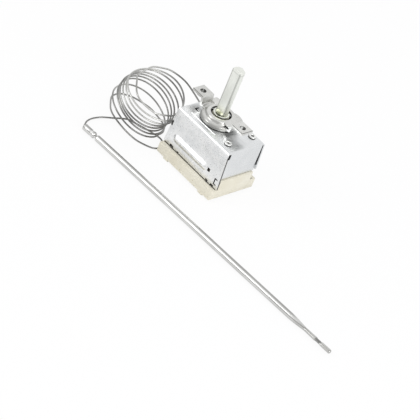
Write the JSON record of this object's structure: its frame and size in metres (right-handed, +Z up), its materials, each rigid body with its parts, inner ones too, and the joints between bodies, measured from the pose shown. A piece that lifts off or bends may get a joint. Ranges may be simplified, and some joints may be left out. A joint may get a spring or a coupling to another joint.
{
  "type": "oven thermostat",
  "caption": "Capillary oven thermostat: flatted control shaft on a folded steel housing over a ceramic switch base, with mounting bracket, coiled capillary and long sensing bulb.",
  "frame": {"origin": "bottom centre of the body's box, under the feet of the ceramic base, without the free capillary and bulb", "axes": "+Z up along the control shaft, +X along the housing's length away from the capillary, +Y to the rear, where the terminals leave; -Y faces the embossed rib"},
  "size_m": [0.1779, 0.0623, 0.0562],
  "materials": {
    "ceramic": "glazed ceramic, steatite",
    "zinc_sheet": "zinc-coated sheet",
    "bracket_steel": "satin",
    "shaft_steel": "satin",
    "brass": "plain",
    "capillary_steel": "dull drawn",
    "bulb_steel": "drawn",
    "silver": "satin"
  },
  "bodies": {
    "base": {"ceramic_base": "ceramic", "housing_shell": "zinc_sheet", "mounting_bracket": "bracket_steel", "shaft_guide": "brass", "screw_bridge": "zinc_sheet", "housing_rivet_front": "shaft_steel", "housing_rivet_rear": "shaft_steel", "contact_carrier": "brass", "fixed_contact": "silver", "terminal_load": "brass", "terminal_common": "brass", "terminal_rivet_load": "brass", "terminal_rivet_common": "brass", "capillary_lead": "capillary_steel", "capillary_coil": "capillary_steel", "capillary_tail": "capillary_steel", "bulb_swage": "bulb_steel", "bulb_tube": "bulb_steel", "bulb_tip": "bulb_steel"},
    "shaft": {"control_shaft": "shaft_steel", "retaining_ring": "shaft_steel"},
    "screw": {"adjusting_screw": "brass"},
    "capsule": {"capsule_hub": "brass", "diaphragm_upper": "bulb_steel", "diaphragm_lower": "bulb_steel", "capillary_stub": "capillary_steel"},
    "switch_arm": {"contact_spring": "brass", "moving_contact": "silver", "ceramic_button": "ceramic"}
  },
  "joints": [
    {"name": "capsule_feed", "type": "slide", "parent": "base", "child": "capsule", "axis": [0, 0, 1], "range_m": [0, 0.000525]},
    {"name": "shaft_turn", "type": "hinge", "parent": "base", "child": "shaft", "pos_m": [-0.00263, -0.00305, 0.0332], "axis": [0, 0, -1], "range_deg": [0, 270]},
    {"name": "screw_feed", "type": "slide", "parent": "shaft", "child": "screw", "axis": [0, 0, 1], "range_m": [0, 0.000526]},
    {"name": "contact_swing", "type": "hinge", "parent": "base", "child": "switch_arm", "pos_m": [0.00903, -0.00305, 0.007], "axis": [0, 1, 0], "range_deg": [0, 2.46]}
  ],
  "couplings": [
    {"joint": "shaft_turn", "follows": "capsule_feed", "rad_per_m": 8975.9},
    {"joint": "screw_feed", "follows": "capsule_feed", "ratio": 1},
    {"joint": "contact_swing", "follows": "capsule_feed", "rad_per_m": 81.55}
  ]
}
